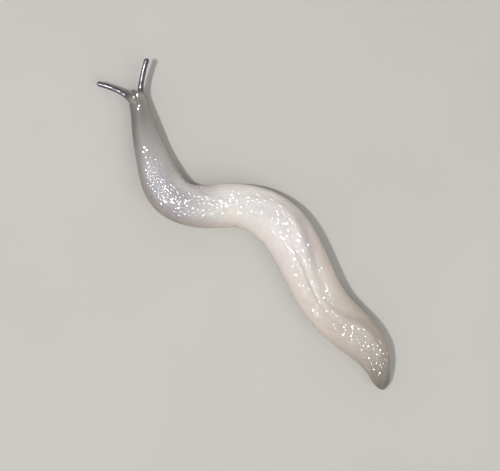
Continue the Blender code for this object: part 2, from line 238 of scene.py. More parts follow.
# The wet film shows the mantle's folds sharper than the skin does, on the front only
# about a line along the back.  On the feelers it is beaded.
FILM_SIDE = -0.35
FILM_REACH = 0.75
FILM_SPAN = (MANTLE_START, MANTLE_START + 0.6)
FILM_WIDE_SPAN = (9.5, 12.0)
FILM_FACING_SPAN = (0.15, 0.45)
FEELER_FILM = 0.012
FEELER_DRY = 0.75
FEELER_DRY_SPAN = (-0.05, 0.35)

# Station, and how much more level than the skin the wet film lies on the back, and
# which way it leans there.
LEVEL = ((0.0, 0.0), (16.0, 0.0), (20.0, 0.40), (24.0, 0.60), (37.0, 0.60), (38.5, 0.70),
         (LENGTH, 0.70))
LEVEL_LEAN = (-0.10, 0.0, 1.0)

# Station, and how thick the wet film is there.
WETNESS = ((0.0, 1.0), (9.5, 1.0), (11.0, 0.82), (12.5, 0.56), (14.5, 0.60), (17.0, 0.90),
           (21.0, 1.0), (31.0, 1.0), (34.0, 0.78), (38.0, 0.74), (41.0, 0.68),
           (LENGTH, 0.50))
WET_SPAN = (MANTLE_START + 0.2, MANTLE_START + 1.2)

# How much drier it is in patches of the mantle, on the mantle's left, and beside the
# band of drops.
PATCH_DRY = 0.35
PATCH_SPAN = (0.0, 0.5)
PATCHY_SPAN = (10.5, 12.5)
LEFT_DRY = 0.7
LEFT_DRY_SPAN = (-0.50, -0.80)
BESIDE_DRY = 0.90
TAIL_TIP_SPAN = (LENGTH - 3.0, LENGTH - 2.0)

# Behind the mantle the drops keep to a band along the back: station, then the middle
# and the reach of the band as shares of the half width.  They thin out in the valley.
BAND = ((17.0, 0.08, 0.52), (19.0, 0.15, 0.46), (21.0, 0.26, 0.38), (23.0, 0.20, 0.36),
        (25.0, 0.04, 0.42), (27.0, 0.00, 0.48), (29.0, 0.00, 0.52), (31.0, -0.12, 0.46),
        (33.0, -0.18, 0.42), (35.0, -0.12, 0.36), (37.0, 0.00, 0.46), (39.0, 0.10, 0.66),
        (41.5, 0.25, 0.66), (LENGTH, 0.30, 0.66))
BAND_EDGE_SPAN = (1.25, 0.80)
BAND_END_SPAN = (LENGTH - 1.4, LENGTH - 2.3)
VALLEY_DRY = 0.8
VALLEY_DRY_SPAN = (34.0, 31.0)

# Feelers: root, reach and thickness as in the solids.
FEELER_ROOT_STATION = 1.25
FEELER_ROOT_HEIGHT = 1.42
FEELER_STUB = 0.92
FEELER_STRETCH = 0.545
FEELER_RADIUS = 0.265
FEELER_FLARE = 0.26
FLARE_REACH = 0.75
FLARE_POWER = 1.3
FEELER_TIP_REACH = 0.24
FEELER_BULB = 0.285
BULB_SPAN = (0.62, 0.30)
FEELER_SUNK_BACK = 0.30
FEELER_SUNK = 0.22
LEFT_FEELER = (-0.42, ((146, -4), (153, -5), (157, -6), (160, -6), (162, -6)))
RIGHT_FEELER = (0.20, ((85, 6), (80, 6), (77, 7), (77, 7), (73, 7)))
LOWER_ROOT = (0.92, 0.37, 0.90)
LOWER_REACH = 0.96
LOWER_RADIUS = 0.21
LOWER_FLARE = 0.05
LOWER_FLARE_SPAN = (0.5, 0.1)
LOWER_SUNK_BACK = 0.15
LOWER_SPREAD = 12
LOWER_SLOPE = -14
HEAD_STATION = 0.5
LIPS = (
    ((0.60, 0.00, 0.78), (0.36, 0.26, 0.13)),
    ((0.82, -0.20, 0.55), (0.26, 0.38, 0.19)),
    ((0.82, 0.20, 0.55), (0.26, 0.38, 0.19)),
)

# An upper feeler's own skin, by the gap to its line and the reach along it.
GAP_SPAN = (0.50, 0.36)
OWN_SPAN = (0.35, 0.85)
FEELER_NEAR = 3.2

# The skin is smoothed round these places along a feeler's line, raised a little.
ROOT_MARKS = (0.0, 0.50)
ROOT_RISE = 0.15
ROOT_REACH = 0.72
ROOT_SMOOTHING = 0.24

# Each eye: its ball, how far it stands in from the bulb's surface, and where it looks,
# along the feeler, up and outward.
EYE_RADIUS = 0.105
EYE_FLATNESS = 0.9
EYE_SUNK = 0.062
EYE_LOOK = (0.62, 0.66, 0.30)

# Round drops of the film behind the mantle: their pitch, curve and lean.
DROP_SIZE = 0.51
DROP_CURVE = 0.76
DROP_LEAN = 0.42

# The fine noises: the size of their features in millimetres, and their seed.
NOISES = {
    "whorl along": (0.9, 11), "whorl across": (0.9, 12), "folds": (0.33, 15),
    "mantle edge": (0.5, 13), "grain": (0.15, 14), "furrows": (0.42, 22),
    "neck": (0.30, 32), "patches": (0.60, 71), "bead pitch": (0.9, 61),
    "bead side": (0.8, 62), "groove": (1.5, 41), "ribs": (2.0, 42),
    "feeler skin": (0.20, 51), "feeler film": (0.26, 52), "feeler beads": (0.34, 53),
}
LATTICE_PRIMES = (668265263, 2246822519, 3266489917)

# How fine the shapes are: the skin's voxels in millimetres, counts, and turns of a tube.
VOXEL = 0.038
RINGS = 700
END_RINGS = 30
SECTORS = 120
TURNS = np.linspace(0, 2 * math.pi, 28, endpoint=False)
FEELER_STEPS = 160
LOWER_STEPS = 40
BALL_BANDS = 20

# Guards against division by 0.
LEAST_WIDTH = 0.2
LEAST_HEIGHT = 0.5
TINY = 1e-6

# Colours as seen on a screen, 0 to 255.
# Painted light on the right flank of the head, neck and mantle's front.
PAINTED_LIGHT_RIGHT = (176, 170, 164)
CREAM = (214, 205, 184)
CLOUD = (150, 140, 134)
PALE_BEND = (186, 180, 176)
VALLEY_SHADE = (140, 128, 122)
CREASE_SHADE = (146, 134, 126)
SNOUT_GREY = (134, 134, 140)
SOLE_CREAM = (206, 198, 180)
FEELER_EDGE = (98, 92, 96)
FEELER_CORE = ((50, 45, 56), (74, 67, 80))
FLOOR_GREYS = ((168, 165, 160), (174, 172, 167))

# Features of the material's noises to the metre.
CREAM_SCALE = 650.0
CLOUD_SCALE = 900.0
PEBBLE_SCALE = 4200.0
FINE_SCALE = 7000.0
EYE_SCALE = 9000.0
FLOOR_SCALE = 60.0

# Surfaces: soft translucent flesh under a thin clear coat, a black eye, a dull floor.
FLESH_SURFACE = {
    "Roughness": 0.5, "Specular IOR Level": 0.10, "IOR": 1.45,
    "Subsurface Weight": 0.9, "Subsurface Radius": (1.0, 0.82, 0.70),
    "Subsurface Scale": 0.0013, "Coat Roughness": 0.08, "Coat IOR": 1.5,
}
EYE_SURFACE = {"Roughness": 0.12, "Coat Weight": 0.5, "Coat Roughness": 0.03}
FLOOR_SURFACE = {"Roughness": 0.75, "Specular IOR Level": 0.0}

# Lamps: name, place and width in metres, power, tint, and whether gloss and flesh see
# it.  The second is the key once more, wider, for the gloss alone.
KEY_PLACE = (-0.115, -0.006, 0.275)
LAMPS = (
    ("key", KEY_PLACE, 0.022, 0.60, (1.0, 0.99, 1.0), True, True),
    ("glints", KEY_PLACE, 0.078, 2.0, (1.0, 0.99, 1.0), True, False),
    ("fill", (0.16, -0.13, 0.25), 0.30, 0.45, (1.0, 0.985, 0.96), False, True),
)
SKY_TINT = (0.94, 0.96, 1.0, 1)
SKY_STRENGTH = 0.58

# The camera looks straight down with the photo's framing: 500 by 471 pixels of 0.1 mm.
CAMERA_CENTRE = (0.58, -1.05)
CAMERA_DISTANCE = 150.0
CAMERA_LEVEL = 1.5
FRAME_WIDTH = 50.0


def unit(vectors):
    return vectors / np.linalg.norm(vectors, axis=1)[:, None]


def natural_cubic(knots, values):
    """Return a function that runs a natural cubic through values at knots."""
    knots = np.asarray(knots, float)
    values = np.asarray(values, float)
    steps = np.diff(knots)
    matrix = np.eye(len(knots))
    bends = np.zeros_like(values)
    for i in range(1, len(knots) - 1):
        matrix[i, i - 1:i + 2] = steps[i - 1], 2 * (steps[i - 1] + steps[i]), steps[i]
        rise = (values[i + 1] - values[i]) / steps[i]
        bends[i] = 6 * (rise - (values[i] - values[i - 1]) / steps[i - 1])
    bends = np.linalg.solve(matrix, bends)

    def value_at(t):
        t = np.clip(np.asarray(t, float), knots[0], knots[-1])
        i = np.clip(np.searchsorted(knots, t) - 1, 0, len(steps) - 1)
        b = (t - knots[i]) / steps[i]
        step = steps[i]
        if values.ndim == 2:
            b = b[..., None]
            step = step[..., None]
        a = 1 - b
        curve = (a ** 3 - a) * bends[i] + (b ** 3 - b) * bends[i + 1]
        return a * values[i] + b * values[i + 1] + curve * step ** 2 / 6

    return value_at


def profile(rows, column=1):
    """Return a smooth function of the station through one column of rows."""
    return natural_cubic([row[0] for row in rows], [row[column] for row in rows])


class Spine:
    """The body's middle line, run on straight beyond both ends."""

    OVERRUN = 3.0
    SAMPLES = 3000
    STEP = 0.02
    COARSE = 10
    BATCH = 20000
    ROUNDS = 3

    def __init__(self):
        chords = np.hypot(*np.diff(np.array(SPINE), axis=0).T)
        curve = natural_cubic(np.concatenate([[0], np.cumsum(chords)]), SPINE)
        inner = curve(np.linspace(0, chords.sum(), self.SAMPLES))
        points = np.vstack([self.beyond(inner[0], inner[5]), inner,
                            self.beyond(inner[-1], inner[-6])])
        stations = np.concatenate([[0], np.cumsum(np.hypot(*np.diff(points, axis=0).T))])
        stations -= self.OVERRUN
        self.stations = np.arange(-self.OVERRUN, LENGTH + self.OVERRUN, self.STEP)
        self.points = np.stack([np.interp(self.stations, stations, points[:, k])
                                for k in (0, 1)], 1)
        self.tangents = unit(np.gradient(self.points, self.stations, axis=0))

    def beyond(self, end, inner):
        """Return a point straight on past an end, away from a point inside."""
        return end + (end - inner) / np.linalg.norm(end - inner) * self.OVERRUN

    def at(self, station):
        """Return the place and the direction at a station, from the snout to the tail."""
        x, y = (np.interp(station, self.stations, self.points[:, k]) for k in (0, 1))
        tx, ty = (np.interp(station, self.stations, self.tangents[:, k]) for k in (0, 1))
        size = np.hypot(tx, ty)
        return x, y, tx / size, ty / size

    def place(self, station, side, height):
        """Turn stations, sides and heights into points."""
        x, y, tx, ty = self.at(station)
        return np.stack([x - side * ty, y + side * tx, height + 0 * x], -1)

    def measure(self, points):
        """Return the station and side of each point."""
        coarse = self.points[::self.COARSE]
        nearest = np.empty(len(points), int)
        for start in range(0, len(points), self.BATCH):
            batch = slice(start, start + self.BATCH)
            part = points[batch, None, :2] - coarse[None]
            nearest[batch] = (part ** 2).sum(2).argmin(1)
        station = self.stations[::self.COARSE][nearest]
        for _ in range(self.ROUNDS):
            x, y, tx, ty = self.at(station)
            station = station + (points[:, 0] - x) * tx + (points[:, 1] - y) * ty
        x, y, tx, ty = self.at(station)
        side = -(points[:, 0] - x) * ty + (points[:, 1] - y) * tx
        return station, side


spine = Spine()
wide_half_width = profile(HALF_WIDTHS)
full_height = profile(HEIGHTS)
keel_side = profile(KEEL)
keel_height = profile(KEEL, 2)


def fade(span, value):
    """Return how far a value is along a span, from 0 to 1, with soft ends."""
    low, high = span
    t = np.clip((value - low) / (high - low), 0, 1)
    return t * t * (3 - 2 * t)


def within(run, value):
    """Return how fully a value is in a run, from 0 to 1."""
    return fade(run[:2], value) * fade(run[:1:-1], value)


def bell(offset, reach, power=2):
    """Return 1 in the middle, falling off softly about a reach from it."""
    return np.exp(-(offset / reach) ** power)


def from_rows(rows, station, column=1):
    """Return one column of rows at a station, straight from row to row."""
    table = np.array(rows).T
    return np.interp(station, table[0], table[column])


def roundness(station):
    """Return how far the section has opened, from 0 at either tip to 1."""
    snout = 1 - (station - SNOUT_START) / SNOUT_ROUND
    closed = np.maximum(np.maximum(snout, 1 - (LENGTH - station) / TAIL_ROUND), 0)
    return np.sqrt(np.maximum(1 - closed ** 2, 0))


def half_width(station):
    return wide_half_width(station) * roundness(station)


def back_height(station):
    tip = np.where(station < LENGTH / 2, SNOUT_TIP_HEIGHT, TAIL_TIP_HEIGHT)
    return tip + (full_height(station) - tip) * roundness(station)


def floor_height(station):
    """Return the underside: the chin clear of the floor in front, then the sole."""
    chin = 1 - fade(SOLE_START_SPAN, station)
    low = SNOUT_TIP_HEIGHT - (SNOUT_TIP_HEIGHT - CHIN_HEIGHT) * roundness(station)
    return chin * low


def section(station, angle):
    """Return side and height of the body's surface at an angle from the top."""
    width = half_width(station)
    waist = WAIST * back_height(station)
    upper = np.cos(angle) > 0
    power = np.where(upper, UPPER_POWER, UNDER_POWER)
    reach = np.where(upper, back_height(station) - waist, -UNDER_REACH * waist)
    side = np.sign(angle) * width * np.abs(np.sin(angle)) ** (2 / power)
    rise = reach * np.abs(np.cos(angle)) ** (2 / power)
    ridge = KEEL_SHARE * keel_height(station) * fade(KEEL_SPAN, station)
    ridge = ridge * bell(side - keel_side(station), KEEL_SOFTNESS) * upper
    stretch = 1 + ridge / np.maximum(np.hypot(side, rise), TINY)
    height = np.maximum(waist + rise * stretch, floor_height(station))
    front = np.clip(1 - (station - FOOT_START) / FOOT_ROUND, 0, 1)
    closing = np.sqrt(np.maximum(1 - front ** 2, FOOT_LEAST))
    closing = closing + (1 - closing) * fade(FOOT_TOP_SPAN, height)
    return side * stretch * closing, height


def grid_mesh(rows):
    """Return vertices and faces of a closed tube through rows of points."""
    count, around = rows.shape[:2]
    a = np.arange((count - 1) * around).reshape(-1, around)
    b = np.roll(a, -1, axis=1)
    faces = np.stack([a, b, b + around, a + around], -1).reshape(-1, 4).tolist()
    faces.append(list(range(around))[::-1])
    faces.append(list(range((count - 1) * around, count * around)))
    return rows.reshape(-1, 3), faces


def body_shell():
    ends = 1 - np.cos(np.linspace(0.02, 1, END_RINGS) * math.pi / 2)
    stations = np.concatenate([
        SNOUT_START + SNOUT_ROUND * ends,
        np.linspace(SNOUT_START + SNOUT_ROUND, LENGTH - TAIL_ROUND, RINGS)[1:-1],
        LENGTH - TAIL_ROUND * ends[::-1],
    ])
    angles = np.linspace(-math.pi, math.pi, SECTORS, endpoint=False)
    s, t = np.meshgrid(stations, angles, indexing="ij")
    side, height = section(s, t)
    return grid_mesh(spine.place(s, side, height))


def direction(heading, slope):
    """Return the unit vector of a heading and a slope in degrees."""
    turn = math.radians(heading)
    rise = math.radians(slope)
    return np.array((math.cos(turn) * math.cos(rise), math.sin(turn) * math.cos(rise),
                     math.sin(rise)))


def tube(path, radii):
    """Return a round tube along a path, its ends closed to points by the radii."""
    along = unit(np.gradient(path, axis=0))
    across = unit(np.cross(along, (0, 0, 1)))
    up = np.cross(across, along)
    turns = TURNS[None, :, None]
    rows = (path[:, None] + radii[:, None, None]
            * (np.cos(turns) * across[:, None] + np.sin(turns) * up[:, None]))
    return grid_mesh(rows)


def upper_feeler_path(feeler):
    """Return points along an upper feeler from inside the head to the end of its bulb,
    the distance of each from its root, and the distance of the end."""
    side, line = feeler
    root = spine.place(FEELER_ROOT_STATION, side, FEELER_ROOT_HEIGHT)
    sunk = root - FEELER_SUNK_BACK * direction(*line[0]) - np.array((0, 0, FEELER_SUNK))
    knots = [sunk, root, root + FEELER_STUB * direction(*line[0])]
    for heading, slope in line:
        knots.append(knots[-1] + FEELER_STRETCH * direction(heading, slope))
    knots.append(knots[-1] + (FEELER_TIP_REACH + FEELER_BULB) * direction(*line[-1]))
    knots = np.array(knots)
    marks = np.concatenate([[0], np.cumsum(np.linalg.norm(np.diff(knots, axis=0), axis=1))])
    distance = np.linspace(0, marks[-1], FEELER_STEPS)
    return natural_cubic(marks, knots)(distance), distance - marks[1], marks[-1] - marks[1]


def rounded_end(left, bulb):
    """Return the radius factor that closes a rod in a round end of a bulb's radius."""
    closed = np.clip(1 - left / bulb, 0, 1)
    return np.sqrt(np.maximum(1 - closed ** 2, 1e-4))


def upper_feeler(feeler):
    path, distance, total = upper_feeler_path(feeler)
    flare = bell(np.maximum(distance, 0), FLARE_REACH, FLARE_POWER)
    radii = FEELER_RADIUS + FEELER_FLARE * flare
    left = total - distance
    radii += (FEELER_BULB - FEELER_RADIUS) * fade(BULB_SPAN, left)
    return tube(path, radii * rounded_end(left, FEELER_BULB))


def lower_feeler(side):
    station, reach, height = LOWER_ROOT
    root = spine.place(station, side * reach, height)
    tx, ty = spine.at(HEAD_STATION)[2:]
    forward = math.degrees(math.atan2(-ty, -tx))
    aim = direction(forward - side * LOWER_SPREAD, LOWER_SLOPE)
    distance = np.linspace(-LOWER_SUNK_BACK, LOWER_REACH, LOWER_STEPS)
    path = root + distance[:, None] * aim
    radii = LOWER_RADIUS + LOWER_FLARE * fade(LOWER_FLARE_SPAN, distance)
    return tube(path, radii * rounded_end(LOWER_REACH - distance, LOWER_RADIUS))


def ellipsoid(centre, radii):
    """Return a ball at a station, side and height, with radii across, along and upward."""
    bands = np.linspace(0.03, math.pi - 0.03, BALL_BANDS)[:, None]
    across = np.sin(bands) * np.cos(TURNS) * radii[0]
    along = np.sin(bands) * np.sin(TURNS) * radii[1]
    up = np.cos(bands) * radii[2] + 0 * TURNS
    return grid_mesh(spine.place(centre[0] + along, centre[1] + across, centre[2] + up))


def joined(shells):
    """Join vertex and face lists into one list of each."""
    points = []
    faces = []
    for shell_points, shell_faces in shells:
        offset = sum(len(p) for p in points)
        points.append(shell_points)
        faces += [[i + offset for i in face] for face in shell_faces]
    return np.concatenate(points), faces


def outward_mesh(name, points, faces):
    """Make a mesh in millimetres with its shells' faces pointing out."""
    data = bpy.data.meshes.new(name)
    data.from_pydata(points.tolist(), [], faces)
    mesh = bmesh.new()
    mesh.from_mesh(data)
    bmesh.ops.recalc_face_normals(mesh, faces=mesh.faces)
    mesh.to_mesh(data)
    mesh.free()
    return data


def in_scene(name, data):
    """Make an object of some data and put it in the scene."""
    thing = bpy.data.objects.new(name, data)
    bpy.context.scene.collection.objects.link(thing)
    return thing


def fused(data):
    """Fuse overlapping shells into one fine closed surface."""
    shell = in_scene("shell", data)
    remesh = shell.modifiers.new("fuse", "REMESH")
    remesh.mode = "VOXEL"
    remesh.voxel_size = VOXEL
    remesh.adaptivity = 0.0
    view = bpy.context.evaluated_depsgraph_get()
    view.update()
    result = bpy.data.meshes.new_from_object(shell.evaluated_get(view))
    bpy.data.objects.remove(shell)
    return result


def fetched(items, name, width=3, kind=float):
    """Return one property of a mesh's points or edges."""
    flat = np.empty(len(items) * width, kind)
    items.foreach_get(name, flat)
    return flat.reshape(-1, width)


def relaxed_in_part(points, edges, weight, rounds):
    """Relax only the points whose weight tells."""
    moving = weight > 0.004
    used, edges = np.unique(edges[moving[edges].any(axis=1)], return_inverse=True)
    points = points.copy()
    points[used] = relaxed(points[used], edges.reshape(-1, 2), (weight * moving)[used], rounds)
    return points


def relaxed(points, edges, weight, rounds):
    """Move each point towards the middle of its neighbours, by its weight."""
    count = np.bincount(edges.ravel(), minlength=len(points))[:, None]
    for _ in range(rounds):
        total = np.zeros_like(points)
        for axis in range(3):
            total[:, axis] = (
                np.bincount(edges[:, 0], points[edges[:, 1], axis], len(points))
                + np.bincount(edges[:, 1], points[edges[:, 0], axis], len(points)))
        points = points + weight[:, None] * (total / np.maximum(count, 1) - points)
    return points


def vertex_normals(data, points):
    data.vertices.foreach_set("co", points.ravel())
    data.update()
    return fetched(data.vertices, "normal")


def lattice_random(cells, seed):
    """Return a fixed number from 0 to 1 for each cell of a lattice, its bits well stirred."""
    value = np.full(cells.shape[:-1], seed * 374761393 + 12345, np.int64)
    for axis, prime in zip(range(cells.shape[-1]), LATTICE_PRIMES):
        value = (value ^ (cells[..., axis] * prime)) & 0xFFFFFFFF
        value = (value * 2654435761 + 97) & 0xFFFFFFFF
        value ^= value >> 15
    return (value & 0xFFFFFF) / float(0xFFFFFF)


def noise(places, name):
    """Return smooth noise from -1 to 1, with the feature size and seed of its name."""
    size, seed = NOISES[name]
    scaled = np.asarray(places) / size
    cell = np.floor(scaled).astype(np.int64)
    part = scaled - cell
    part = part * part * (3 - 2 * part)
    total = 0
    for corner in np.ndindex(*(2,) * scaled.shape[-1]):
        share = np.prod(np.where(np.array(corner) == 1, part, 1 - part), axis=-1)
        total = total + share * lattice_random(cell + np.array(corner), seed)
    return total * 2 - 1


def folds(s, arc, place):
    """Return the relief of the mantle's broken folds round the whorl, in millimetres,
    and how far each place is inside its fold, from 0 to 1."""
    behind = np.where(s > WHORL_STATION, WHORL_STRETCH, 1.0)
    x = (s - WHORL_STATION) * behind + WHORL_WAVER * noise(place, "whorl along")
    y = (arc - WHORL_SIDE) * WHORL_SQUEEZE + WHORL_WAVER * noise(place, "whorl across")
    from_centre = np.hypot(x, y) / FOLD_SPACING + FOLD_WAVER * noise(place, "folds")
    ring = np.floor(from_centre).astype(np.int64)
    across = from_centre - ring
    pieces = np.maximum(np.round(2 * math.pi * (ring + 0.5) * FOLD_SPACING / FOLD_PIECE), 3)
    turn = (np.arctan2(y, x) / (2 * math.pi) + 0.5) * pieces
    turn = turn + lattice_random(np.stack([ring, ring], -1), TURN_SEED)
    piece = np.floor(turn)
    along = turn - piece
    cell = np.stack([ring, (piece % pieces).astype(np.int64)], -1)
    offset = np.stack([(across - 0.5) * FOLD_SPACING, (along - 0.5) * FOLD_PIECE], -1)
    lean = np.stack([lattice_random(cell, seed) for seed in LEAN_SEEDS], -1) * 2 - 1
    curved = (offset ** 2 * np.array(FOLD_CURVES)).sum(-1)
    facet = (lean * offset).sum(-1) * FOLD_LEAN - curved
    facet = facet + FOLD_RISE * lattice_random(cell, RISE_SEED)
    inside = (1 - np.abs(2 * across - 1) ** 3) * (1 - np.abs(2 * along - 1) ** 5)
    return facet, inside


def inside_mantle(station, side, height):
    """Return roughly how far a place is inside the mantle's edge, in millimetres."""
    width = half_width(station)
    waist = WAIST * back_height(station)
    upper = back_height(station) - waist
    run = np.clip((station - MANTLE_NARROWS) / (MANTLE_END - MANTLE_NARROWS), 0, 1)
    share = MANTLE_EDGE + (MANTLE_POINT - MANTLE_EDGE) * run ** MANTLE_TAPER
    edge_height = upper * np.maximum(1 - share ** UPPER_POWER, 0) ** (1 / UPPER_POWER)
    edge = np.arctan2(share * width, edge_height)
    turn = np.arctan2(np.abs(side), height - waist)
    flank = (edge - turn) * (width + upper) / 2
    bow = MANTLE_BOW * (side / np.maximum(width, 0.1)) ** 2
    return np.minimum(flank, MANTLE_SLOPE * (station - MANTLE_START - bow))


def skin_relief(s, u, z, feeler):
    """Return how far the skin stands out of the smooth shape, in millimetres, with
    the sharper relief of the wet film over it, which only the gloss follows, how wet
    the skin is, how full the drops on it are, and where it has warts, from 0 to 1."""
    width = np.maximum(half_width(s), LEAST_WIDTH)
    across = u / width
    waist = WAIST * back_height(s)
    arc = np.arctan2(u, z - waist) * (width + back_height(s) - waist) / 2
    place = np.stack([s, arc], 1)
    solid = np.stack([s, u, z], 1)
    body = 1 - feeler
    above = fade(ABOVE_FOOT_SPAN, z)
    upper = z > waist

    # The mantle, with a rough groove along its edge.
    inside = inside_mantle(s, u, z)
    on_mantle = fade(MANTLE_EDGE_SPAN, inside) * fade(MANTLE_TIP_SPAN, s)
    relief = MANTLE_PROUD * on_mantle
    rough = 0.6 + 0.4 * noise(place, "mantle edge")
    edge = bell(inside, EDGE_REACH) * above * body * (s < EDGE_END)
    relief -= edge * rough * EDGE_DEPTH

    # Its folds, soft in the skin, sharp in the film.
    grain = noise(solid, "grain")
    flank = fade(FOLD_FLANK_SPAN, np.abs(across))
    facet, inward = folds(s, arc, place)
    strength = on_mantle * fade(FOLD_SPAN, s) * (0.2 + 0.8 * flank)
    relief += strength * ((FOLD_DEPTH + FOLD_SHARE * facet) * inward + GRAIN * grain)
    middle = bell(u - FILM_SIDE, FILM_REACH)
    spread = middle + (1 - middle) * fade(FILM_WIDE_SPAN, s)
    film = on_mantle * fade(FILM_SPAN, s) * (0.1 + 0.9 * flank * spread) * facet

    # Furrows behind it, with the band of drops, and on the neck and head.
    behind = fade(BEHIND_SPAN, s) * (1 - on_mantle) * above
    behind = behind * fade(BEFORE_TAIL_SPAN, s)
    furrows = noise(place * np.array(FURROW_STRETCH), "furrows")
    relief += behind * (FURROW * furrows + GRAIN * grain)
    off_band = np.abs(across - from_rows(BAND, s)) / from_rows(BAND, s, 2)
    band = fade(BAND_EDGE_SPAN, off_band) * fade(BAND_END_SPAN, s)
    dry = VALLEY_DRY * valley_share(s, u) * fade(VALLEY_DRY_SPAN, s)
    drops = behind * band * (1 - dry)
    ahead = fade(NECK_SPAN, s) * body * above
    furrows = noise(place * np.array(NECK_STRETCH), "neck")
    relief += ahead * (NECK_GRAIN * grain + NECK_FURROW * furrows)

    # How wet it all is.
    wet = np.maximum(fade(WET_SPAN, s), feeler) * from_rows(WETNESS, s)
    patchy = fade(PATCH_SPAN, noise(place, "patches")) * fade(PATCHY_SPAN, s)
    wet = wet * (1 - PATCH_DRY * patchy * on_mantle)
    beside = np.maximum(behind, fade(TAIL_TIP_SPAN, s)) * (1 - band)
    wet = wet * (1 - BESIDE_DRY * beside)
    wet = wet * (1 - LEFT_DRY * on_mantle * fade(LEFT_DRY_SPAN, across))

    # Single things: warts, beads, valley, crease, squeezed folds.
    warts = np.zeros(len(s))
    for station, side, stretch in WARTS:
        off = np.hypot((s - station) / stretch, u - side)
        relief += WART_HEIGHT * bell(off, WART_REACH) * upper
        warts = np.maximum(warts, bell(off, WART_REACH, 4) * upper)
        wet = np.maximum(wet, bell(off, WART_WET_REACH, 4) * upper)
    waver = PITCH_WAVER * noise(place, "bead pitch")
    beads = 0.5 + 0.5 * np.sin(s * 2 * math.pi / BEAD_PITCH + waver)
    beads = beads * within(BEAD_RUN, s) * upper
    waver = SIDE_WAVER * noise(place, "bead side")
    beads = beads * bell(u - BEAD_SIDE - waver, BEAD_REACH)
    relief += BEAD_HEIGHT * beads
    film += BEAD_FILM * beads
    valley = bell(u - keel_side(s) - VALLEY_SIDE, VALLEY_REACH) * fade(VALLEY_SPAN, s)
    relief -= (VALLEY_DEPTH * valley + CREASE_DEPTH * crease_share(s, u)) * upper
    squeezed = fade(SQUEEZE_SPAN, across) * above
    for station in SQUEEZES:
        relief -= SQUEEZE_DEPTH * squeezed * bell(s - station, SQUEEZE_REACH)

    # The foot's groove and ribbed fringe; the feelers.
    low = body * fade(FRINGE_SPAN, s)
    groove = GROOVE_HEIGHT + GROOVE_WAVER * noise(place[:, :1], "groove")
    relief -= GROOVE_DEPTH * bell(z - groove, GROOVE_REACH) * low
    ribs = np.sin(s * 2 * math.pi / RIB_PITCH + 2 * noise(place[:, :1], "ribs"))
    fringe = bell(z - FRINGE_HEIGHT, FRINGE_REACH) * low
    relief += fringe * (FRINGE_PROUD + RIB_HEIGHT * ribs)
    relief += feeler * FEELER_GRAIN * noise(solid, "feeler skin")
    film += feeler * FEELER_FILM * noise(solid, "feeler film")
    dry = fade(FEELER_DRY_SPAN, noise(solid, "feeler beads"))
    wet = wet * (1 - FEELER_DRY * feeler * dry)
    return relief, film, wet, drops, warts


def valley_share(s, u):
    """Return how deep a place lies in the parts of the valley by the keel with painted shade.
    """
    along = within(SHADE_RUNS[0], s) + within(SHADE_RUNS[1], s)
    across = bell(u - keel_side(s) - SHADE_SIDE, SHADE_REACH)
    return across * np.minimum(along, 1)


def crease_share(s, u):
    """Return how deep a place lies in the thin crease along the keel's left foot."""
    return bell(u - from_rows(CREASE, s), CREASE_REACH) * within(CREASE_RUN, s)


def film_normals(data, points, normals, film, s, warts):
    """Return the normals of the wet film, which lies more level than the skin."""
    rough = vertex_normals(data, points + normals * film[:, None])
    level = from_rows(LEVEL, s) * fade(FILM_FACING_SPAN, normals[:, 2])
    level = level[:, None]
    smooth = unit(normals * (1 - level) + np.array(LEVEL_LEAN) * level)
    wet = smooth + rough - normals
    return unit(wet + (np.array(WART_LEAN) - wet) * warts[:, None])


def pore_and_mouth(points, normals, s, u, z):
    """Sink the breathing pore and the mouth's slits into the skin."""
    slant = np.arctan2(u, z - WAIST * back_height(s)) - PORE_ANGLE
    along = (s - PORE_STATION) / PORE_LENGTH
    across = (slant * PORE_ARM + PORE_BOW * along ** 2) / PORE_WIDTH
    near = (u > 0) & (np.abs(s - PORE_STATION) < PORE_NEAR)
    slit = bell(np.hypot(along, across), 1, 3) * near
    ring = np.hypot(along * RIM_SHARES[0], across * RIM_SHARES[1])
    sunk = PORE_DEPTH * slit - RIM_HEIGHT * bell(ring - 1.0, RIM_REACH) * near
    mouth = bell(z - MOUTH_HEIGHT + MOUTH_BOW * u ** 2, SLIT_REACH)
    mouth = mouth * (np.abs(u) < MOUTH_SIDE) * (s < MOUTH_END) * (z < MOUTH_TOP)
    split = bell(u, SLIT_REACH) * (s < SPLIT_END)
    split = split * (z > SPLIT_HEIGHTS[0]) * (z < SPLIT_HEIGHTS[1])
    sunk = sunk + SLIT_DEPTH * np.maximum(mouth, split)
    return points - normals * sunk[:, None]


def feeler_shares(points):
    """Return how much each point is an upper feeler's own, and how much near its root."""
    feeler = np.zeros(len(points))
    junction = np.zeros(len(points))
    for line in (LEFT_FEELER, RIGHT_FEELER):
        path, distance, _ = upper_feeler_path(line)
        path, distance = path[::3], distance[::3]
        gap = np.full(len(points), np.inf)
        which = np.zeros(len(points), int)
        close = np.linalg.norm(points - path.mean(0), axis=1) < FEELER_NEAR
        part = np.linalg.norm(points[close][:, None] - path[None], axis=2)
        gap[close] = part.min(1)
        which[close] = part.argmin(1)
        ahead = unit(np.gradient(path, axis=0))
        reach = distance[which] + ((points - path[which]) * ahead[which]).sum(1)
        own = fade(GAP_SPAN, gap) * fade(OWN_SPAN, reach)
        feeler = np.maximum(feeler, own)
        for mark in ROOT_MARKS:
            root = path[np.abs(distance - mark).argmin()] + np.array((0, 0, ROOT_RISE))
            near = bell(np.linalg.norm(points - root, axis=1), ROOT_REACH, 4)
            junction = np.maximum(junction, near)
    return feeler, junction


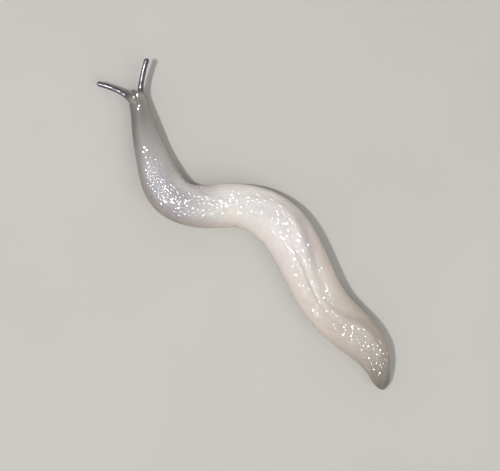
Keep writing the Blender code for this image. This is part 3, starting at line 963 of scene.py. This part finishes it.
def make_skin():
    """Make the whole skin in one mesh, with its measures kept as named attributes."""
    shells = [body_shell(), upper_feeler(LEFT_FEELER), upper_feeler(RIGHT_FEELER),
              lower_feeler(-1), lower_feeler(1)]
    shells += [ellipsoid(centre, radii) for centre, radii in LIPS]
    data = fused(outward_mesh("rough", *joined(shells)))
    points = fetched(data.vertices, "co")
    edges = fetched(data.edges, "vertices", 2, int)
    points = relaxed(points, edges, np.full(len(points), 0.5), 3)
    feeler, junction = feeler_shares(points)
    rounds = max(4, int(ROOT_SMOOTHING / VOXEL ** 2))
    points = relaxed_in_part(points, edges, 0.5 * junction, rounds)

    s, u = spine.measure(points)
    z = points[:, 2]
    normals = vertex_normals(data, points)
    relief, film, wet, drops, warts = skin_relief(s, u, z, feeler)
    sole = fade(SOLE_SPAN, z) * (s > FOOT_START)
    points = points + normals * (relief * (1 - sole))[:, None]
    points = pore_and_mouth(points, normals, s, u, z)
    width = np.maximum(half_width(s), LEAST_WIDTH)
    groove = bell(np.abs(u) - SOLE_GROOVE_AT * width, SOLE_GROOVE_REACH)
    groove = groove * within(SOLE_GROOVE_RUN, s)
    floor = np.where(sole > 0.5, SOLE_GROOVE_DEPTH * groove, 0.0)
    points[:, 2] = np.maximum(points[:, 2], floor)
    normals = vertex_normals(data, points)
    gloss = film_normals(data, points, normals, film, s, warts)

    measures = {
        "station": s / LENGTH,
        "side": np.clip(u / width, -1.2, 1.2),
        "height": z / np.maximum(back_height(s), LEAST_HEIGHT),
        "feeler": feeler,
        "core": np.clip(normals[:, 2], 0, 1) ** 1.5,
        "wet": wet,
        "drops": drops,
        "valley": valley_share(s, u),
        "crease": crease_share(s, u),
        "pale_bend": within(PALE_BEND_RUN, s) * fade(PALE_BEND_SPAN, u / width),
    }
    data.vertices.foreach_set("co", (points * MM).ravel())
    for name, values in measures.items():
        store = data.attributes.new(name, "FLOAT", "POINT")
        store.data.foreach_set("value", values.astype(np.float32))
    store = data.attributes.new("film_normal", "FLOAT_VECTOR", "POINT")
    store.data.foreach_set("vector", gloss.astype(np.float32).ravel())
    data.shade_smooth()
    data.update()
    return in_scene("slug_skin", data)


class Nodes:
    """Builds one node material, each call adding a node and returning its output."""

    def __init__(self, name):
        self.material = bpy.data.materials.new(name)
        self.material.use_nodes = True
        self.tree = self.material.node_tree
        self.shader = self.tree.nodes["Principled BSDF"]

    def put(self, socket, value):
        if isinstance(value, bpy.types.NodeSocket):
            self.tree.links.new(value, socket)
        else:
            socket.default_value = value

    def set(self, name, value):
        self.put(self.shader.inputs[name], value)

    def surface(self, values):
        for name, value in values.items():
            self.set(name, value)

    def add(self, kind):
        return self.tree.nodes.new("ShaderNode" + kind)

    def node(self, kind, output=0, settings=None, **inputs):
        """Add a node; an input is named, or numbered with an i before its number."""
        node = self.add(kind)
        for key, value in (settings or {}).items():
            setattr(node, key, value)
        for key, value in inputs.items():
            name = key.replace("_", " ").title() if not key.startswith("i") else int(key[1:])
            self.put(node.inputs[name], value)
        return node.outputs[output]

    def measure(self, name):
        return self.node("Attribute", "Fac", {"attribute_name": name})

    def math(self, operation, a, b=0.0, c=0.0):
        return self.node("Math", 0, {"operation": operation}, i0=a, i1=b, i2=c)

    def times(self, a, b):
        return self.math("MULTIPLY", a, b)

    def span(self, value, low, high, start=0.0, end=1.0):
        return self.node("MapRange", 0, {"interpolation_type": "SMOOTHSTEP"},
                         i0=value, i1=low, i2=high, i3=start, i4=end)

    def speckle(self, where, scale, detail=2.0):
        return self.node("TexNoise", "Fac", i0=where, i2=scale, i3=detail)

    def vector(self, operation, a, b, output=0):
        return self.node("VectorMath", output, {"operation": operation}, i0=a, i1=b)

    def drops(self, where):
        """Return the height in metres of close-set round drops, each leaning its own way."""
        cells = self.add("TexVoronoi")
        cells.inputs["Scale"].default_value = 1 / (DROP_SIZE * MM)
        self.put(cells.inputs["Vector"], where)
        offset = self.vector("SUBTRACT", where, cells.outputs["Position"])
        chance = self.vector("SUBTRACT", cells.outputs["Color"], (0.5, 0.5, 0.5))
        tilt = self.times(self.vector("DOT_PRODUCT", offset, chance, 1), 2 * DROP_LEAN)
        square = self.vector("DOT_PRODUCT", offset, offset, 1)
        return self.math("MULTIPLY_ADD", square, -DROP_CURVE / MM, tilt)

    def ramp(self, value, stops):
        node = self.add("ValToRGB")
        self.put(node.inputs[0], value)
        elements = node.color_ramp.elements
        while len(elements) < len(stops):
            elements.new(0.5)
        for element, (place, *tone) in zip(elements, stops):
            element.position = place
            element.color = colour(*tone)
        return node.outputs[0]

    def mix(self, share, a, b):
        return self.node("Mix", 2, {"data_type": "RGBA"}, i0=share, i6=a, i7=b)

    def tint(self, share, base, tone):
        """Mix a share of one colour, as seen on a screen, into a base."""
        return self.mix(share, base, colour(*tone))


def colour(red, green, blue):
    """Turn a colour as seen on a screen, 0 to 255, into a linear one."""
    values = [v / 255 for v in (red, green, blue)]
    return (*(v / 12.92 if v <= 0.04045 else ((v + 0.055) / 1.055) ** 2.4 for v in values), 1)


def skin_material():
    """Wet, translucent, pale skin: grey on the head, warm white behind, dark feelers."""
    make = Nodes("slug_skin")
    where = make.node("TexCoord", "Object")
    station = make.measure("station")
    side = make.measure("side")
    height = make.measure("height")
    back = make.ramp(station, (
        (0.00, 116, 112, 108), (0.06, 112, 110, 106), (0.13, 142, 141, 138),
        (0.19, 161, 159, 159), (0.25, 148, 146, 149), (0.30, 150, 147, 149),
        (0.35, 178, 175, 173), (0.40, 196, 193, 189), (0.50, 194, 190, 186),
        (0.58, 198, 193, 190), (0.66, 192, 186, 181), (0.72, 190, 184, 177),
        (0.80, 173, 165, 156), (0.86, 172, 165, 156), (0.91, 156, 150, 141),
        (0.95, 130, 127, 119), (0.99, 104, 100, 93),
    ))
    # The flank ramps hold the flanks' tone with painted light and shade: the right is lighter
    # in front, a little darker behind.
    left = make.ramp(station, (
        (0.00, 114, 109, 104), (0.05, 103, 99, 94), (0.10, 100, 96, 91),
        (0.15, 127, 120, 115), (0.22, 131, 123, 118), (0.30, 138, 131, 126),
        (0.36, 165, 157, 149), (0.45, 197, 189, 181), (0.55, 202, 194, 187),
        (0.68, 202, 192, 184), (0.80, 184, 172, 161), (0.88, 160, 150, 142),
        (0.94, 150, 142, 133), (0.99, 107, 101, 93),
    ))
    right = make.ramp(station, (
        (0.00, 110, 105, 100), (0.05, 97, 93, 89), (0.10, 102, 97, 92),
        (0.15, 146, 140, 135), (0.22, 153, 146, 141), (0.30, 166, 160, 155),
        (0.36, 192, 184, 177), (0.42, 220, 214, 207), (0.48, 218, 210, 202),
        (0.55, 203, 194, 187), (0.62, 195, 183, 174), (0.70, 198, 186, 176),
        (0.80, 187, 174, 161), (0.88, 167, 155, 144), (0.94, 138, 129, 118),
        (0.99, 102, 96, 88),
    ))
    flank = make.mix(make.span(side, -0.25, 0.25), left, right)
    edge = make.span(make.math("ABSOLUTE", side), 0.30, 0.95)
    base = make.mix(edge, back, flank)

    # Painted light: the right flank in front is painted lighter.
    painted_light = make.times(make.span(side, 0.15, 0.90), make.span(station, 0.34, 0.20, 0.0, 0.45))
    base = make.tint(painted_light, base, PAINTED_LIGHT_RIGHT)
    cream = make.times(make.speckle(where, CREAM_SCALE, 1.0), make.span(side, 0.35, -0.10))
    behind = make.times(make.span(station, 0.34, 0.40), make.span(station, 0.52, 0.44))
    cream = make.times(make.span(cream, 0.45, 0.65, 0.0, 0.3), behind)
    base = make.tint(cream, base, CREAM)
    clouds = make.speckle(where, CLOUD_SCALE, 4.0)
    base = make.tint(make.span(clouds, 0.35, 0.75, 0.0, 0.14), base, CLOUD)
    # Paler on the inner, right side of the bend.
    base = make.tint(make.measure("pale_bend"), base, PALE_BEND)
    # Painted shade in the valley by the keel.
    base = make.tint(make.times(make.measure("valley"), 0.42), base, VALLEY_SHADE)
    # Painted shade in the crease along the keel's left foot.
    base = make.tint(make.times(make.measure("crease"), 0.40), base, CREASE_SHADE)
    snout = make.times(make.span(station, 0.014, 0.004), make.span(height, 0.95, 0.70))
    base = make.tint(snout, base, SNOUT_GREY)
    base = make.tint(make.span(height, 0.22, 0.05), base, SOLE_CREAM)
    dark = make.mix(make.span(clouds, 0.3, 0.7), *(colour(*tone) for tone in FEELER_CORE))
    dark = make.mix(make.measure("core"), colour(*FEELER_EDGE), dark)
    make.set("Base Color", make.mix(make.measure("feeler"), base, dark))
    make.surface(FLESH_SURFACE)

    wet = make.span(make.measure("wet"), 0.0, 1.0, 0.01, 1.0)
    less = make.span(make.measure("feeler"), 0.0, 1.0, 1.0, 0.6)
    make.set("Coat Weight", make.times(wet, less))
    pebble = make.node("TexVoronoi", "Distance", i0=where, i2=PEBBLE_SCALE)
    pebble = make.times(pebble, make.span(station, 0.12, 0.17, 0.0, 0.5))
    fine = make.times(make.speckle(where, FINE_SCALE), 0.25)
    rise = make.math("ADD", fine, make.times(pebble, -0.5))
    make.set("Normal", make.node("Bump", "Normal", strength=0.5, distance=0.00003,
                                 height=rise))
    film = make.node("Attribute", "Vector", {"attribute_name": "film_normal"})
    film = make.node("VectorTransform", 0, {
        "vector_type": "NORMAL", "convert_from": "OBJECT", "convert_to": "WORLD"}, i0=film)
    rounded = make.times(make.drops(where), make.measure("drops"))
    make.set("Coat Normal", make.node("Bump", "Normal", strength=1.0, distance=1.0,
                                      height=rounded, normal=film))
    return make.material


def eye_material():
    make = Nodes("eye_black")
    where = make.node("TexCoord", "Object")
    make.set("Base Color", make.mix(make.speckle(where, EYE_SCALE), (0.004, 0.004, 0.005, 1),
                                    (0.020, 0.016, 0.018, 1)))
    make.surface(EYE_SURFACE)
    return make.material


def make_eye(name, feeler, material):
    """Set a small black eye in the upper outer side of a feeler's bulb."""
    path, distance, total = upper_feeler_path(feeler)
    centre = path[np.abs(distance - (total - FEELER_BULB)).argmin()]
    aim = direction(*feeler[1][-1])
    outward = np.cross(aim, (0, 0, 1)) * np.sign(feeler[0])
    look = sum(share * way for share, way in zip(EYE_LOOK, (aim, np.array((0, 0, 1)), outward)))
    look /= np.linalg.norm(look)
    bpy.ops.mesh.primitive_uv_sphere_add(segments=32, ring_count=20, radius=EYE_RADIUS * MM)
    eye = bpy.context.object
    eye.name = name
    eye.scale = (1.0, 1.0, EYE_FLATNESS)
    eye.location = Vector(centre + look * (FEELER_BULB - EYE_SUNK)) * MM
    bpy.ops.object.transform_apply(location=False, rotation=False, scale=True)
    eye.data.shade_smooth()
    eye.data.materials.append(material)
    return eye


def make_stage():
    bpy.ops.mesh.primitive_plane_add(size=4.0, location=(0, 0, 0))
    floor = bpy.context.object
    floor.name = "floor"
    make = Nodes("floor")
    where = make.node("TexCoord", "Object")
    make.set("Base Color", make.mix(make.speckle(where, FLOOR_SCALE),
                                    *(colour(*tone) for tone in FLOOR_GREYS)))
    make.surface(FLOOR_SURFACE)
    floor.data.materials.append(make.material)


def make_lamp(name, place, size, power, tint, gloss, diffuse):
    lamp = bpy.data.lights.new(name, "AREA")
    lamp.shape = "DISK"
    lamp.size = size
    lamp.energy = power
    lamp.color = tint
    holder = in_scene(name, lamp)
    holder.location = place
    holder.rotation_euler = (-Vector(place)).to_track_quat("-Z", "Y").to_euler()
    holder.visible_glossy = gloss
    holder.visible_diffuse = diffuse


def make_camera():
    data = bpy.data.cameras.new("camera")
    data.sensor_width = 36.0
    data.lens = data.sensor_width * CAMERA_DISTANCE / FRAME_WIDTH
    data.clip_start = 0.005
    data.clip_end = 10.0
    camera = in_scene("camera", data)
    camera.location = Vector((*CAMERA_CENTRE, CAMERA_DISTANCE + CAMERA_LEVEL)) * MM
    bpy.context.scene.camera = camera


FLESH = ("head", "neck", "mantle_front", "mantle_rear", "trunk_front", "trunk_middle",
         "trunk_bend", "trunk_rear", "trunk_hind", "tail", "foot_front", "foot_middle",
         "foot_rear", "upper_tentacle_left", "upper_tentacle_right",
         "lower_tentacle_left", "lower_tentacle_right")

skin = make_skin()
skin.data.materials.append(skin_material())
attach(skin, "root")
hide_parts(*FLESH)

black = eye_material()
for name, line in (("left", LEFT_FEELER), ("right", RIGHT_FEELER)):
    eye = make_eye("eye_ball_" + name, line, black)
    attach(eye, "root")
    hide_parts("eye_" + name)

make_stage()
for lamp in LAMPS:
    make_lamp(*lamp)
world = bpy.data.worlds.new("studio")
world.use_nodes = True
sky = world.node_tree.nodes["Background"].inputs
sky["Color"].default_value = SKY_TINT
sky["Strength"].default_value = SKY_STRENGTH
bpy.context.scene.world = world
bpy.context.scene.view_settings.view_transform = "Standard"
make_camera()
